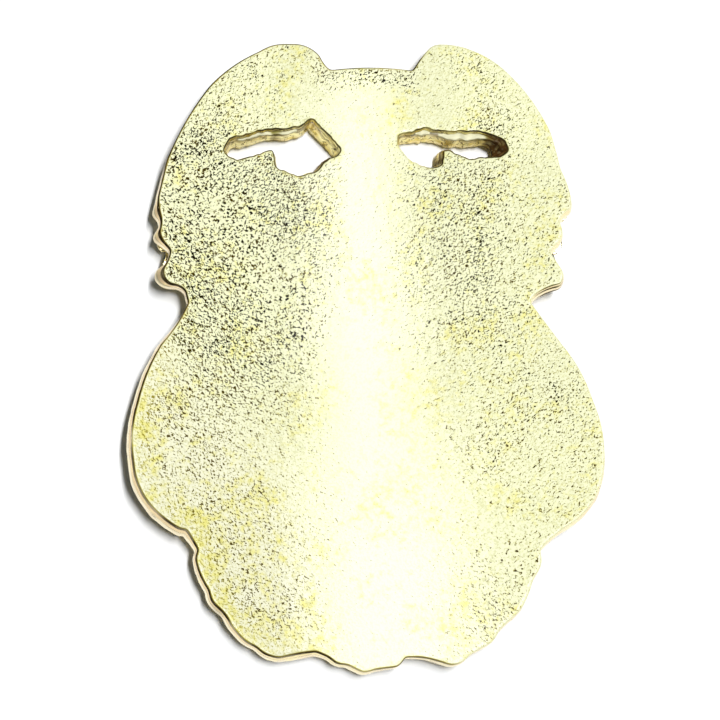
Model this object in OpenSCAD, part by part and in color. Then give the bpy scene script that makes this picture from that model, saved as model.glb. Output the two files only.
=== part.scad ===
/* [Casting] */
// Height at the back face, from the wing shoulders to the bottom lobe
badge_h = 77.7; // [60:0.1:90]
// Thickness of the plate without its relief
plate_t = 2.2; // [1.8:0.1:3]
// Radius to which the back is hollowed from side to side
bend_r = 200; // [150:5:400]
// How far the front edge stands outside the back edge
draft = 0.5; // [0.2:0.05:0.7]
// Thickness of the narrower layer next to the back face
back_layer_t = 1.1; // [0.5:0.1:1.3]

/* [Relief] */
// Height of the flat medallion over the plate, which the badge rests on
medallion_rise = 1.4; // [1.3:0.05:1.8]
// Height of the rays
ray_rise = 0.3; // [0.15:0.05:0.5]
// Height of the leaves and the border
leaf_rise = 0.8; // [0.55:0.05:0.85]
// Height of the banners
banner_rise = 0.9; // [0.9:0.05:0.95]
// Height of the wings between the feathers
wing_rise = 1; // [0.6:0.05:1.05]
// Height of the feathers
feather_rise = 1.2; // [1.1:0.05:1.2]
// Height of the eagle's head and body
eagle_rise = 1.3; // [1.25:0.05:1.3]

/* [Medallion] */
// Outer diameter of the medallion's ring
medallion_d = 26; // [20:0.5:28]
// Width of the ring
ring_w = 1.7; // [1:0.1:2.5]
// Diameter over the star's points
star_d = 15; // [10:0.5:17]
// Depth of the field below the ring
field_sink = 0.5; // [0.3:0.05:0.7]

/* [Banners] */
// Middle radius of the upper banner, from the medallion's centre
upper_banner_r = 25; // [24:0.1:26]
// Half of the angle that the upper banner spans
upper_banner_span = 42; // [36:1:44]
// Middle radius of the lower banner
lower_banner_r = 18.4; // [17.8:0.1:19]
// Half of the angle that the lower banner spans
lower_banner_span = 58; // [45:1:62]
// Width of a banner
banner_w = 5.6; // [4.5:0.1:6]

/* [Hidden] */

// Height of the badge that the outline tables below describe
table_h = 77.7;
k = badge_h / table_h;

// The back face's outline goes round anticlockwise, in millimetres at the table's height.
// Each row is x, y and bulge: how far the edge swells outwards on its way to the next row.
brow = [
    [6.2, 36.9, 0.4]
];
left_wing = [
    [-4.2, 36.5, -0.15],
    [-5.5, 38.3, 0.55],
    [-9.3, 39.6, 0.35],
    [-13.0, 38.4, 0.4],
    [-19.2, 33.4, 0.5],
    [-24.6, 23.6, 0.2],
    [-25.3, 18.9, 0.1]
];
left_tips = [
    [-24.9, 16.4, -0.1],
    [-25.1, 14.7, 0.25],
    [-23.7, 12.6, -0.15],
    [-24.6, 10.1, 0.35],
    [-23.6, 8.3, -0.25],
    [-21.8, 7.5, 0.1]
];
left_flank = [
    [-21.5, 6.3, -0.25],
    [-24.7, 1.0, 0.3],
    [-27.4, -6.1, 0.4],
    [-27.8, -13.1, 0.7],
    [-24.7, -19.1, 0.1],
    [-22.2, -20.8, 0]
];
left_leaves = [
    [-21.5, -20.8, 0],
    [-20.1, -23.2, 0.1],
    [-20.4, -24.4, 0.2],
    [-18.8, -27.9, 0.2],
    [-18.0, -29.6, -0.1],
    [-16.6, -31.1, 0.1],
    [-15.4, -32.8, 0.2],
    [-13.4, -34.2, 0.35],
    [-10.5, -35.5, -0.1]
];
bottom_lobe = [
    [-6.3, -34.8, 0],
    [-4.7, -35.5, 0.3],
    [-2.7, -36.3, 0],
    [-0.9, -37.2, 0.1],
    [0.6, -36.9, 0],
    [3.3, -36.6, 0.1]
];
right_leaves = [
    [4.2, -35.5, 0],
    [6.0, -35.5, -0.1],
    [9.4, -36.4, 0.4],
    [11.8, -35.3, 0],
    [13.5, -34.4, 0.15],
    [15.1, -33.1, 0],
    [15.4, -32.4, 0],
    [17.9, -30.2, 0.15],
    [19.4, -27.1, -0.1],
    [20.4, -25.3, 0.25]
];
right_flank = [
    [20.5, -23.0, -0.1],
    [22.9, -20.8, 0],
    [25.0, -19.4, 0.15],
    [27.4, -16.6, 0.35],
    [28.6, -10.9, 0.3],
    [27.4, -4.8, 0.4],
    [23.9, 2.1, 0]
];
right_tips = [
    [20.2, 7.4, -0.2],
    [21.5, 8.8, -0.15],
    [24.0, 9.7, 0.35],
    [24.0, 11.8, 0],
    [22.8, 13.7, -0.1],
    [23.9, 14.9, 0.45],
    [24.0, 17.7, -0.2]
];
right_wing = [
    [25.5, 19.2, 0.1],
    [25.5, 21.2, 0.1],
    [24.4, 24.4, 0.05],
    [23.3, 29.2, 0.2],
    [20.1, 34.7, 0.1],
    [17.2, 37.8, 0.15],
    [14.0, 39.7, 0.25],
    [9.8, 40.5, 0.3],
    [8.0, 39.5, 0.1]
];

// The two openings under the wings, clockwise from their inner ends, in the same columns.
left_opening = [
    [-3.0, 25.9, 0],
    [-3.6, 25.4, 0.1],
    [-5.2, 24.5, 0],
    [-5.8, 23.5, -0.15],
    [-8.3, 22.7, -0.1],
    [-11.1, 23.7, 0],
    [-11.4, 25.8, 0],
    [-14.0, 24.8, 0],
    [-15.8, 24.2, -0.1],
    [-17.4, 25.2, -0.1],
    [-16.6, 26.9, 0],
    [-14.1, 27.6, 0],
    [-12.9, 28.2, 0],
    [-9.1, 28.6, 0],
    [-7.9, 29.0, 0],
    [-6.8, 30.0, 0],
    [-6.2, 29.8, 0],
    [-3.0, 26.4, 0]
];
right_opening = [
    [4.2, 28.0, 0],
    [4.8, 28.7, 0],
    [5.9, 28.8, 0],
    [7.9, 29.5, 0],
    [8.8, 29.1, 0],
    [14.6, 29.1, -0.1],
    [17.2, 28.2, -0.2],
    [17.9, 26.7, -0.1],
    [16.6, 25.9, 0],
    [14.4, 25.8, 0],
    [13.1, 25.5, 0],
    [10.9, 26.5, 0],
    [9.8, 26.7, 0],
    [9.7, 25.1, -0.1],
    [9.2, 24.4, 0],
    [7.8, 24.3, -0.1],
    [5.2, 25.6, 0],
    [4.3, 27.1, 0]
];

// Feathers of the left and right wing from the body outwards.
// Each row is root x, root y, tip x, tip y and width.
left_feathers = [
    [-4.6, 36.6, -4.6, 29.2, 2.1],
    [-6.6, 38.4, -7.3, 29.8, 2.3],
    [-8.8, 38.6, -10.0, 29.2, 2.5],
    [-11.0, 38.0, -12.8, 28.8, 2.6],
    [-13.2, 36.8, -15.9, 28.2, 2.8],
    [-15.2, 35.4, -19.2, 24.6, 2.9],
    [-17.2, 33.8, -22.4, 20.4, 3.0],
    [-19.0, 31.6, -25.4, 16.6, 3.1],
    [-20.4, 26.0, -24.8, 12.7, 3.0],
    [-19.4, 21.0, -24.2, 7.9, 3.0]
];
right_feathers = [
    [6.2, 36.4, 5.6, 29.8, 2.1],
    [8.2, 39.2, 8.2, 30.4, 2.3],
    [10.4, 39.6, 10.9, 30.0, 2.5],
    [12.6, 39.0, 13.7, 30.0, 2.6],
    [14.6, 37.8, 16.6, 29.2, 2.8],
    [16.4, 36.6, 19.8, 26.0, 2.9],
    [18.2, 35.0, 22.6, 21.8, 3.0],
    [19.8, 32.8, 25.6, 18.0, 3.1],
    [20.6, 27.0, 24.4, 13.9, 3.0],
    [19.2, 21.8, 24.2, 9.3, 3.0]
];

// Laurel leaves along the lower edge, the same columns.
left_laurel = [
    [-17.6, -16.8, -21.3, -20.9, 2.8],
    [-17.0, -19.8, -19.8, -24.4, 2.9],
    [-15.4, -22.6, -18.3, -28.3, 3.0],
    [-13.6, -25.6, -16.2, -31.4, 3.1],
    [-11.2, -28.2, -13.3, -34.0, 3.2],
    [-8.2, -29.6, -9.8, -35.0, 3.2],
    [-5.0, -30.2, -5.6, -34.6, 2.9]
];
right_laurel = [
    [18.0, -17.4, 21.6, -21.4, 2.8],
    [17.2, -20.4, 20.0, -24.9, 2.9],
    [15.8, -23.4, 18.9, -28.2, 3.0],
    [14.2, -26.6, 16.8, -30.8, 3.1],
    [11.8, -28.8, 14.0, -33.8, 3.2],
    [8.6, -30.2, 9.8, -35.8, 3.2],
    [5.2, -30.4, 5.6, -35.0, 2.9]
];

// Fields that the wings' ground, the border and the rays stay in, as their corners
wing_field = [[-40, 50], [-40, 6], [-20.5, 6], [-19, 22], [18.6, 22], [19.6, 6], [40, 6], [40, 50]];
border_field = [[-40, 5], [-40, -19.6], [40, -19.6], [40, 5]];
ray_field = [[-40, 16], [-40, -26], [40, -26], [40, 16]];

// The medallion's centre is on the line x = 0
centre_y = -7;
body_at = [0.6, 27.4];
body_size = [6.2, 15];
head_at = [0.4, 33.6];
head_r = 2.5;
beak = [[1.6, 34.9], [4.2, 33.9], [4.6, 32.5], [2.2, 32.3]];
neck_fillet = 0.5;
claw_x = 2.2;
claw_y = 19.8;
claw_r = 1.1;
ray_count = 24;
ray_l = 45;
ray_width = 6;
border_w = 1.3;
lobe_at = [0.4, -34.2];
lobe_r = 1.9;
star_points = 5;
star_waist = 0.4;
ring_bevel = 0.35;
curve_step = 1.2;
arc_step = 4;
edge_land = 0.3;
feather_land = 0.1;
groove = 0.16;
overlap = 0.4;
well = 40;
floor_gap = 2;

function bulged(p, q) =
    let (
        way = [q[0] - p[0], q[1] - p[1]],
        out = [way[1], -way[0]] / norm(way),
        steps = p[2] == 0 ? 1 : max(3, ceil(norm(way) / curve_step))
    )
    [
        for (i = [0 : steps - 1])
            let (t = i / steps)
            [p[0], p[1]] + way * t + out * p[2] * 4 * t * (1 - t)
    ];

function loop(rows) =
    [for (i = [0 : len(rows) - 1]) each k * bulged(rows[i], rows[(i + 1) % len(rows)])];

edge = loop(concat(
    brow, left_wing, left_tips, left_flank, left_leaves,
    bottom_lobe, right_leaves, right_flank, right_tips, right_wing
));
xs = [for (p = edge) p[0]];
ys = [for (p = edge) p[1]];
middle = [(min(xs) + max(xs)) / 2, (min(ys) + max(ys)) / 2];
bend_z = medallion_rise + plate_t + bend_r;
front_r = bend_r + plate_t;

// Half widths along a feather, which is broad and round at its tip, and along a pointed leaf
function feather_half(t) = t < 0.75 ? 0.5 + 0.5 * t / 0.75 : sqrt(1 - pow((t - 0.75) / 0.25, 2));
function leaf_half(t) = pow(sin(180 * t), 0.8);

// A feather or a leaf from its root to its tip
module blade(row, leafy) {
    way = [row[2] - row[0], row[3] - row[1]];
    side = [way[1], -way[0]] / norm(way) * row[4] / 2;
    steps = leafy ? [0, 0.15, 0.35, 0.6, 0.8, 1] : [0, 0.75, 0.87, 0.96, 1];
    function flank(t, sign) = way * t + sign * side * (leafy ? leaf_half(t) : feather_half(t));
    translate([row[0], row[1]])
        polygon(concat(
            [for (t = steps) flank(t, 1)],
            [for (i = [len(steps) - 2 : -1 : (leafy ? 1 : 0)]) flank(steps[i], -1)]
        ));
}

module blades(rows, leafy = false) {
    for (row = rows)
        offset(delta = -groove / 2)
            blade(row, leafy);
}

module back_outline() {
    polygon(edge);
}

module front_outline(grow = draft) {
    offset(r = grow, $fn = 24)
        polygon(edge);
}

// Relief drawn at the tables' height, cut off where it comes within the land of the front edge
module inside_edge(land = edge_land) {
    offset(delta = 0)
        intersection() {
            scale(k)
                children();
            front_outline(draft - land);
        }
}

// The bend of the plate: the space between two radii round a line high above the back
module shell(inner, outer) {
    translate([0, 0, bend_z])
        rotate([90, 0, 0])
            difference() {
                cylinder(r = outer, h = 2 * badge_h, center = true, $fn = 720);
                cylinder(r = inner, h = 2 * badge_h + 2, center = true, $fn = 720);
            }
}

// A flat shape made as thick as the space between two radii
module bent(inner, outer) {
    intersection() {
        shell(inner, outer);
        translate([0, 0, -floor_gap])
            linear_extrude(height = well)
                children();
    }
}

// A flat shape raised over the front of the plate
module raised(rise) {
    bent(front_r - overlap, front_r + rise)
        children();
}

module arc_band(radius, width, from, to) {
    steps = ceil((to - from) / arc_step);
    function ring(r) = [for (i = [0 : steps]) let (a = from + (to - from) * i / steps) r * [cos(a), sin(a)]];
    inner = ring(radius - width / 2);
    polygon(concat(ring(radius + width / 2), [for (i = [steps : -1 : 0]) inner[i]]));
}

module plate() {
    bent(bend_r, bend_r + back_layer_t)
        back_outline();
    bent(bend_r + back_layer_t - overlap, front_r)
        front_outline();
}

module wings() {
    raised(wing_rise)
        inside_edge(feather_land * 2)
            polygon(wing_field);
    raised(feather_rise)
        inside_edge(feather_land) {
            blades(left_feathers);
            blades(right_feathers);
        }
}

module eagle() {
    raised(eagle_rise)
        inside_edge()
            offset(r = -neck_fillet, $fn = 16)
                offset(r = neck_fillet, $fn = 16) {
                    translate(body_at)
                        scale(body_size)
                            circle(d = 1, $fn = 48);
                    translate(head_at)
                        circle(r = head_r, $fn = 36);
                    polygon(beak);
                    for (side = [-1, 1])
                        translate([body_at[0] + side * claw_x, claw_y])
                            circle(r = claw_r, $fn = 24);
                }
}

module banners() {
    raised(banner_rise)
        inside_edge()
            translate([0, centre_y]) {
                arc_band(upper_banner_r, banner_w, 90 - upper_banner_span, 90 + upper_banner_span);
                arc_band(lower_banner_r, banner_w, 270 - lower_banner_span, 270 + lower_banner_span);
            }
}

module border() {
    raised(leaf_rise)
        inside_edge()
            difference() {
                polygon(border_field);
                offset(delta = -border_w)
                    back_outline();
            }
}

module rays() {
    raised(ray_rise)
        inside_edge(border_w)
            intersection() {
                translate([0, centre_y])
                    for (i = [0 : ray_count - 1])
                        rotate(360 * (i + 0.5) / ray_count)
                            polygon([[0, 0], [ray_l, ray_width / 2], [ray_l, -ray_width / 2]]);
                polygon(ray_field);
            }
}

module laurel() {
    raised(leaf_rise)
        inside_edge() {
            blades(left_laurel, leafy = true);
            blades(right_laurel, leafy = true);
            translate(lobe_at)
                circle(r = lobe_r, $fn = 28);
        }
}

module medallion() {
    r = medallion_d / 2;
    root = medallion_rise + plate_t / 2;
    translate([0, k * centre_y, 0]) {
        rotate_extrude($fn = 180)
            polygon([
                [0, field_sink], [r - ring_w, field_sink], [r - ring_w + ring_bevel, 0],
                [r - ring_bevel, 0], [r, ring_bevel], [r, root], [0, root]
            ]);
        translate([0, 0, field_sink / 3])
            linear_extrude(height = field_sink)
                polygon([
                    for (i = [0 : 2 * star_points - 1])
                        star_d / 2 * (i % 2 == 0 ? 1 : star_waist)
                            * [sin(180 * i / star_points), cos(180 * i / star_points)]
                ]);
    }
}

// The openings go right through, narrower on the front by the draft
module openings() {
    for (rows = [left_opening, right_opening]) {
        bent(bend_r - 1, bend_r + back_layer_t)
            polygon(loop(rows));
        translate([0, 0, -floor_gap])
            linear_extrude(height = well)
                offset(delta = -draft / 2)
                    polygon(loop(rows));
    }
}

module badge_casting() {
    color("gold")
        translate([-middle[0], -middle[1], 0])
            difference() {
                union() {
                    plate();
                    wings();
                    eagle();
                    banners();
                    border();
                    rays();
                    laurel();
                    medallion();
                }
                openings();
            }
}

badge_casting();
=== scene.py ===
import math

import bpy
import numpy as np
from mathutils import Matrix, Vector, noise
from mathutils.geometry import delaunay_2d_cdt


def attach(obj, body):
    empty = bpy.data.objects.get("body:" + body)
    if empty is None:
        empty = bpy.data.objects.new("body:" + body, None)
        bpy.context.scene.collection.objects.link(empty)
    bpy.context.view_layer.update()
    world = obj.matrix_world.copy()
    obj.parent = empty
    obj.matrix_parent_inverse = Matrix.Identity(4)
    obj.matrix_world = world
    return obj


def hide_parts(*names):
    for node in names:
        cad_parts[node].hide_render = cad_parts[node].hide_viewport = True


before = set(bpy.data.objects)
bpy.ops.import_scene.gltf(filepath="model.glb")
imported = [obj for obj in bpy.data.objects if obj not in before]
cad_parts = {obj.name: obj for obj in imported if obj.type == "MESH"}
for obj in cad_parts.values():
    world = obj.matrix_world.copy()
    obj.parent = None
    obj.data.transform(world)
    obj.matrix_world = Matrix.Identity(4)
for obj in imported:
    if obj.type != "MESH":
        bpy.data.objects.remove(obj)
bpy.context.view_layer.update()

MM = 0.001

# The view: the badge lies on its front with its hollow back up. The camera looks down at it from
# its lower left, near enough for the left edge and the openings' far sides to show their walls.
photo_px = 720
focal_px = 1916.7
aim_px = (368, 358)
view_aim = Vector((-0.25, -1.65, 4.3)) * MM
view_from = Vector((-0.16, -0.21, 1.0)).normalized()
view_distance = 230 * MM
view_roll = math.radians(-0.6)

camera_data = bpy.data.cameras.new("view")
camera_data.sensor_width = 36
camera_data.lens = 36 * focal_px / photo_px
camera_data.shift_x = (photo_px / 2 - aim_px[0]) / photo_px
camera_data.shift_y = (aim_px[1] - photo_px / 2) / photo_px
camera_data.clip_start = 0.01
camera = bpy.data.objects.new("view", camera_data)
bpy.context.collection.objects.link(camera)
view_right = Vector((0, 1, 0)).cross(view_from).normalized()
camera.matrix_world = (
    Matrix.Translation(view_aim + view_from * view_distance)
    @ Matrix((view_right, view_from.cross(view_right), view_from)).transposed().to_4x4()
    @ Matrix.Rotation(view_roll, 4, "Z"))
bpy.context.scene.camera = camera

# The floor and the light: plain white paper, one long softbox high on the right that makes the
# bright stripe down the hollow and the short dark shadow on the left, and a weak pale room.
floor_half = 1.5
floor_mesh = bpy.data.meshes.new("floor")
floor_mesh.from_pydata(
    [(-floor_half, -floor_half, 0), (floor_half, -floor_half, 0),
     (floor_half, floor_half, 0), (-floor_half, floor_half, 0)], [], [(0, 1, 2, 3)])
floor = bpy.data.objects.new("floor", floor_mesh)
bpy.context.collection.objects.link(floor)


def begun(name):
    """A new material, its nodes, links and shader, and the place that its patterns follow."""
    material = bpy.data.materials.new(name)
    material.use_nodes = True
    tree = material.node_tree
    place = tree.nodes.new("ShaderNodeTexCoord").outputs["Object"]
    return material, tree.nodes, tree.links, tree.nodes["Principled BSDF"], place


def feed(socket, value):
    """Gives a socket a number, a row of numbers or what another socket gives."""
    if isinstance(value, bpy.types.NodeSocket):
        links.new(value, socket)
    elif value is not None:
        socket.default_value = value


def fill(node, **given):
    """The node, its inputs fed by their names, with _ for a space."""
    for name, value in given.items():
        feed(node.inputs[name.replace("_", " ")], value)
    return node


def grained(place, scale, detail, roughness=0.5, distortion=0.0):
    """A Noise node's value at a place, or at each point's own where there is none."""
    return fill(nodes.new("ShaderNodeTexNoise"), Vector=place, Scale=scale, Detail=detail,
                Roughness=roughness, Distortion=distortion).outputs["Fac"]


def blended(share, low, high):
    """A colour between two others, sockets or rows of numbers."""
    node = nodes.new("ShaderNodeMix")
    node.data_type = "RGBA"
    feed(node.inputs["Factor"], share)
    for socket, value in zip(node.inputs[6:8], (low, high)):
        feed(socket, (*value, 1) if isinstance(value, tuple) else value)
    return node.outputs[2]


paper, nodes, links, shader, place = begun("white_paper")
fibre = grained(place, 400, 4)
fill(shader, Roughness=0.9, Base_Color=blended(fibre, (0.88, 0.89, 0.90), (0.93, 0.93, 0.93)))
floor_mesh.materials.append(paper)

light_lean = 7.8
light_slant = 0.093
light_height = 1.2
light_radiance = 96
# The softbox tapers away behind the badge and slants to the right there, in rows of where a part
# of it begins and ends behind the badge's upright, and how wide it looks from the badge, all in
# degrees
for part, (begins, ends, breadth) in enumerate([(-10, 9, 5.4), (9, 15, 3.6), (15, 21, 1.8)]):
    near, far = (light_height * math.tan(math.radians(d)) for d in (begins, ends))
    softbox = bpy.data.lights.new(f"softbox_{part}", "AREA")
    softbox.shape = "RECTANGLE"
    softbox.size, softbox.size_y = light_height * math.radians(breadth), far - near
    softbox.energy = light_radiance * math.pi * softbox.size * softbox.size_y
    lamp = bpy.data.objects.new(softbox.name, softbox)
    leaning = math.radians(light_lean + light_slant * (begins + ends) / 2)
    lamp.location = (light_height * math.tan(leaning), (near + far) / 2, light_height)
    lamp.rotation_euler.z = -light_slant
    bpy.context.collection.objects.link(lamp)

room = bpy.data.worlds.new("room")
room.use_nodes = True
room.node_tree.nodes["Background"].inputs["Color"].default_value = (0.3, 0.6, 1.0, 1)
room.node_tree.nodes["Background"].inputs["Strength"].default_value = 0.065
bpy.context.scene.world = room
bpy.context.scene.view_settings.view_transform = "Standard"

# The casting itself: one hollowed plate of die-cast zinc with leaning, slightly lumpy walls in two
# steps, two openings under the wings, and the sandy skin of the mould all over its back.
middle_x, middle_y = 0.289178, 1.65
hollow_r = 200.0
rest_rise = 1.4
plate_t = 2.2
wing_rise = 1.0

# The back's edge goes round anticlockwise, in rows of x, y and how far the edge swells outwards
# on its way to the next row. The openings go round clockwise.
brow = [(6.2, 36.9, 0.4)]
left_wing = [
    (-4.2, 36.5, -0.15), (-5.5, 38.3, 0.55), (-9.3, 39.6, 0.35), (-13.0, 38.4, 0.4),
    (-19.2, 33.4, 0.38), (-24.3, 23.6, 0.0), (-25.3, 18.9, 0.1)]
left_tips = [
    (-24.9, 16.4, -0.1), (-25.1, 14.7, 0.25), (-23.7, 12.6, -0.15), (-24.6, 10.1, 0.35),
    (-23.6, 8.3, -0.25), (-21.8, 7.5, 0.1)]
left_flank = [
    (-21.5, 6.3, -0.25), (-24.7, 1.0, 0.3), (-27.4, -6.1, 0.4), (-27.8, -13.1, 0.7),
    (-24.7, -19.1, 0.1), (-22.2, -20.8, 0)]
left_leaves = [
    (-21.5, -20.8, 0), (-20.1, -23.2, 0.1), (-20.4, -24.4, 0.2), (-18.8, -27.9, 0.2),
    (-18.0, -29.6, -0.1), (-16.6, -31.1, 0.1), (-15.4, -32.8, 0.2), (-13.4, -34.2, 0.35),
    (-10.5, -35.5, -0.1)]
bottom_lobe = [
    (-6.3, -34.8, 0), (-4.7, -35.5, 0.3), (-2.7, -36.3, 0), (-0.9, -37.2, 0.1),
    (0.6, -36.9, 0), (3.3, -36.6, 0.1)]
right_leaves = [
    (4.2, -35.5, 0), (6.0, -35.5, -0.1), (9.4, -36.4, 0.4), (11.8, -35.3, 0),
    (13.5, -34.4, 0.15), (15.1, -33.1, 0), (15.4, -32.4, 0), (17.9, -30.2, 0.15),
    (19.4, -27.1, -0.1), (20.4, -25.3, 0.25)]
right_flank = [
    (20.5, -23.0, -0.1), (22.9, -20.8, 0), (25.0, -19.4, 0.15), (27.4, -16.6, 0.35),
    (28.6, -10.9, 0.3), (27.4, -4.8, 0.4), (23.9, 2.1, 0)]
right_tips = [
    (20.2, 7.4, -0.2), (21.5, 8.8, -0.15), (24.0, 9.7, 0.35), (24.0, 11.8, 0),
    (22.8, 13.7, -0.1), (23.9, 14.9, 0.45), (24.0, 17.7, -0.2)]
right_wing = [
    (25.5, 19.2, 0.1), (25.5, 21.2, 0.1), (24.4, 24.4, 0.05), (23.3, 29.2, 0.2),
    (20.1, 34.7, 0.1), (17.2, 37.8, 0.15), (14.0, 39.7, 0.25), (9.8, 40.5, 0.3),
    (8.0, 39.5, 0.1)]
left_opening = [
    (-3.0, 25.9, 0), (-3.6, 25.4, 0.1), (-5.2, 24.5, 0), (-5.8, 23.5, -0.15),
    (-8.3, 22.7, -0.1), (-11.1, 23.7, 0), (-11.4, 25.8, 0), (-14.0, 24.8, 0),
    (-15.8, 24.2, -0.1), (-17.4, 25.2, -0.1), (-16.6, 26.9, 0), (-14.1, 27.6, 0),
    (-12.9, 28.2, 0), (-9.1, 28.6, 0), (-7.9, 29.0, 0), (-6.8, 30.0, 0),
    (-6.2, 29.8, 0), (-3.0, 26.4, 0)]
right_opening = [
    (4.2, 28.0, 0), (4.8, 28.7, 0), (5.9, 28.8, 0), (7.9, 29.5, 0), (8.8, 29.1, 0),
    (14.6, 29.1, -0.1), (17.2, 28.2, -0.2), (17.9, 26.7, -0.1), (16.6, 25.9, 0),
    (14.4, 25.8, 0), (13.1, 25.5, 0), (10.9, 26.5, 0), (9.8, 26.7, 0),
    (9.7, 25.1, -0.1), (9.2, 24.4, 0), (7.8, 24.3, -0.1), (5.2, 25.6, 0), (4.3, 27.1, 0)]
# Inside this line the front stands out by wing_rise, as the ground of the wings
wing_field = [(-40, 50), (-40, 6), (-20.5, 6), (-19, 22), (18.6, 22), (19.6, 6), (40, 6), (40, 50)]

# How far the walls lean out at places round the edge, in rows of x, y and lean
wall_leans = [
    (-18.4, 34.0, 0.05), (-21.4, 29.8, 0.03), (-23.6, 25.0, 0.10), (-25.0, 20.0, 0.24),
    (-22.0, 6.0, 0.06), (-25.0, 1.6, 0.32), (-27.2, -4.5, 0.44), (-27.8, -11.0, 0.50),
    (-26.0, -18.0, 0.60), (-23.0, -20.8, 0.62), (-20.6, -23.8, 0.28),
    (-17.5, -30.0, 0.38), (-12.5, -35.0, 0.30), (-8.5, -35.2, 0.60), (-4.5, -35.5, 0.24),
    (-0.5, -37.0, 0.24), (4.0, -36.0, 0.10), (10.0, -36.2, 0.14), (18.5, -29.0, 0.25),
    (28.0, -11.0, 0.40), (23.5, 11.0, 0.40), (24.5, 25.0, 0.40), (12.0, 40.0, 0.36),
    (7.0, 38.2, 0.02), (-4.8, 37.4, 0.30)]
# The ends of the left wing's long feathers stand out past the back's edge, in rows of x, y, how
# far they stand out and how wide they are
feather_ends = [(-25.4, 17.3, 0.55, 0.9), (-25.2, 14.2, 0.60, 0.8), (-24.6, 9.5, 0.85, 1.2)]

edge_step = 0.26
skin_step = 0.28
front_step = 0.42
# The walls' profile in rows of how far it stands outside the back's edge, its share of the lean,
# how deep it lies under the back, how much painted shade darkens the crease there and how pale its
# plate is painted, as a painted highlight where it catches the light: a
# steep lip, two slopes with the groove between them where the mould's halves met, a steep foot
wall_profile = [
    (-0.24, 0, 0, 0, 1), (-0.15, 0, 0.012, 0.25, 1), (-0.09, 0, 0.03, 0.9, 1),
    (-0.03, 0, 0.08, 1, 0.5), (0, 0.02, 0.16, 1, 0.2), (0, 0.08, 0.34, 1, 0.2),
    (0, 0.17, 0.54, 0.9, 0.2), (0, 0.28, 0.68, 0, 0.2), (0, 0.44, 0.84, 0, 0.2),
    (0, 0.58, 0.99, 0, 0.2), (0, 0.61, 1.10, 0.4, 0.5), (0, 0.70, 1.20, 0, 0.9),
    (0, 0.88, 1.36, 0, 1), (0, 1.02, 1.52, 0, 1), (0, 1.09, 1.72, 0, 0.8),
    (0, 1.10, 1.90, 0.2, 0.4), (0, 1, 2.06, 0.3, 0.2), (0, 0.80, 2.20, 0, 0)]
# The openings' walls likewise: a thin upper strip, a ledge painted pale as a highlight and a deeper
# strip under it
opening_profile = [
    (-0.24, 0, 0, 0, 0), (-0.17, 0, 0.012, 0.1, 0), (-0.11, 0, 0.03, 0.9, 0),
    (-0.03, 0, 0.08, 1, 0), (0, 0.02, 0.16, 0.8, 0), (0, 0.09, 0.30, 0, 0),
    (0, 0.17, 0.44, 0, 0), (0, 0.24, 0.56, 0.9, 0), (0, 0.27, 0.63, 0.2, 1),
    (0, 0.31, 0.67, 0, 1), (0, 0.39, 0.75, 0, 1), (0, 0.50, 1.05, 0.6, 0.2),
    (0, 0.64, 1.46, 0, 0.4), (0, 0.78, 1.88, 0, 0), (0, 0.90, 2.26, 0.2, 0),
    (0, 1.00, 2.66, 0, 0.5), (0, 1.05, 2.96, 0.4, 0.3), (0, 0.90, 3.20, 0, 0)]
# The openings' walls lean alike, but for places in rows of x, y, how wide and how much
opening_lean = 0.46
opening_leans = [(-12.0, 28.0, 3.5, -0.28), (17.2, 27.2, 1.3, 0.8)]
# Where a ledge stands out of the openings' walls, in rows of x, y, how far and how wide, and
# between which depths its top lies
ledges = [
    (7.4, 29.4, 0.42, 1.0), (11.4, 29.0, 0.60, 1.9), (13.9, 28.9, 0.50, 1.6), (-14.6, 27.3, 0.20, 0.9),
    (-13.0, 28.0, 0.28, 1.1), (-11.2, 28.3, 0.28, 1.1), (-9.4, 28.5, 0.24, 1.1)]
ledge_from = 0.65
ledge_to = 0.76
# The skin's sandy plate goes on over its lip and the ledges, too thin for any pits, by these shares
lip_sand = 0.02
ledge_sand = 0.01
# Where painted shade darkens the walls, and where it is painted lighter than elsewhere, in rows of x,
# y, how wide and how much
shade_places = [
    (16.9, 27.2, 2.3, 2.0), (9.6, 25.4, 1.1, 1.6), (-5.0, 24.6, 1.3, 1.6), (-11.0, 28.0, 0.8, 1.6),
    (-17.5, 34.2, 3.5, 1.1), (-21.4, 29.8, 3.5, 1.1), (-23.8, 24.6, 2.5, 0.9),
    (-27.9, -10.4, 1.5, -0.3), (-27.3, -14.2, 2.0, -0.7), (-25.0, -18.8, 1.3, -0.6),
    (-21.3, -21.8, 1.2, -0.5), (-16.2, -32.0, 1.2, -0.6), (5.4, 25.4, 2.2, -2.0),
    (-8.6, 22.8, 1.6, -0.4), (7.3, 36.6, 1.6, 3.0), (-0.4, 34.8, 2.5, 1.5)]
# Where the flank's wall on the right is painted dark in stripes: x, y and how wide
striped_place = (22.9, 8.6, 1.6)


def hollow(x):
    """Height of the bent back over the floor at x."""
    return rest_rise + plate_t + hollow_r - np.sqrt(hollow_r ** 2 - x ** 2)


def swelling(rows):
    """The closed line through the rows, each stretch swelling by its own amount."""
    line = []
    for (x, y, swell), (x2, y2, _) in zip(rows, rows[1:] + rows[:1]):
        way = np.array((x2 - x, y2 - y))
        out = np.array((way[1], -way[0])) / np.hypot(*way)
        for t in np.arange(0, 1, 0.1):
            line.append(np.array((x, y)) + way * t + out * swell * 4 * t * (1 - t))
    return np.array(line)


def spaced(line, step):
    """The same closed line in even steps."""
    ends = np.vstack([line, line[:1]])
    run = np.concatenate([[0], np.cumsum(np.hypot(*np.diff(ends, axis=0).T))])
    at = np.linspace(0, run[-1], int(round(run[-1] / step)), endpoint=False)
    return np.column_stack([np.interp(at, run, ends[:, k]) for k in (0, 1)])


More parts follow.
